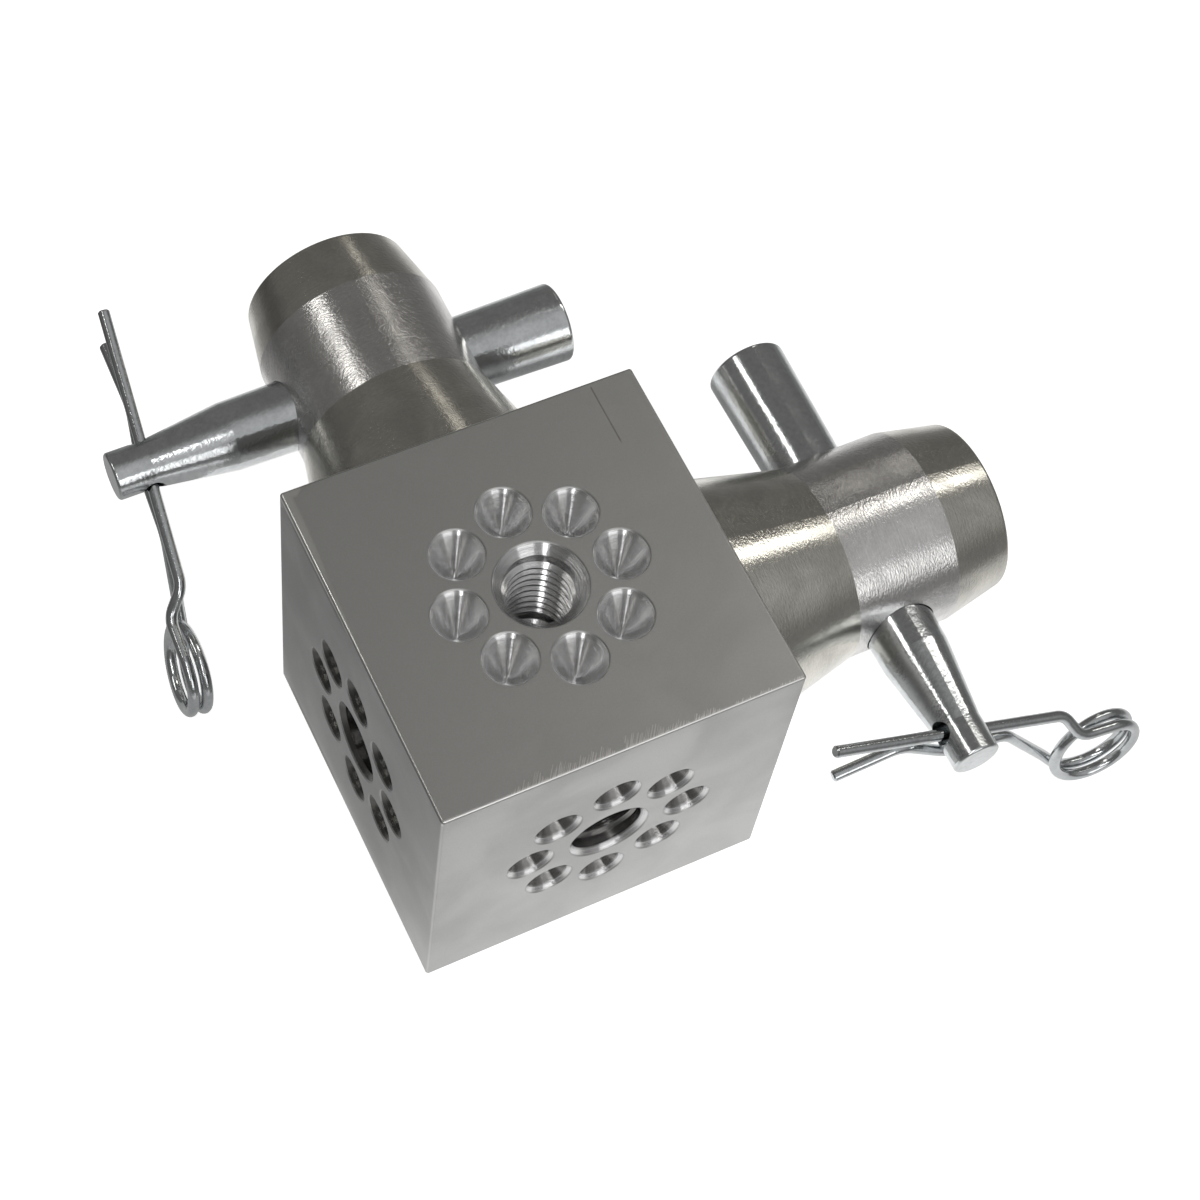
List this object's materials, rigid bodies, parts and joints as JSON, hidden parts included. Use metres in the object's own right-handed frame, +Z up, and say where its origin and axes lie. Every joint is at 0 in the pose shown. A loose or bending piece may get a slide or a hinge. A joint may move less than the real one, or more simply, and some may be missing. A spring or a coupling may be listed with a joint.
{
  "type": "truss junction block",
  "caption": "Machined aluminium cube junction for tube truss, with threaded holes and socket rings, conical half couplers, tapered cross pins and wire spring clips.",
  "frame": {"origin": "middle of the block's bottom face, where the bottom face's socket ring and threaded hole are centred", "axes": "+Z up out of the block's top face, +X out along the right coupler, +Y out along the left coupler"},
  "size_m": [0.1461, 0.1291, 0.06],
  "materials": {
    "block": "matte fine-milled",
    "coupler": "turned and polished",
    "screw": "plain",
    "cross_pin": "zinc plated",
    "spring_clip": "zinc plated wire"
  },
  "bodies": {
    "block": {"junction_block": "block", "right_coupler": "coupler", "right_fixing_screw": "screw", "right_lock_washer": "screw", "right_locating_pin": "screw", "left_coupler": "coupler", "left_fixing_screw": "screw", "left_lock_washer": "screw", "left_locating_pin": "screw"},
    "right_pin": {"right_cross_pin": "cross_pin", "right_spring_clip": "spring_clip"},
    "left_pin": {"left_cross_pin": "cross_pin", "left_spring_clip": "spring_clip"}
  },
  "joints": [
    {"name": "right_pin_slide", "type": "slide", "parent": "block", "child": "right_pin", "axis": [0, 1, 0], "range_m": [-0.005, 0.014]},
    {"name": "left_pin_slide", "type": "slide", "parent": "block", "child": "left_pin", "axis": [1, 0, 0], "range_m": [0, 0.013]}
  ]
}
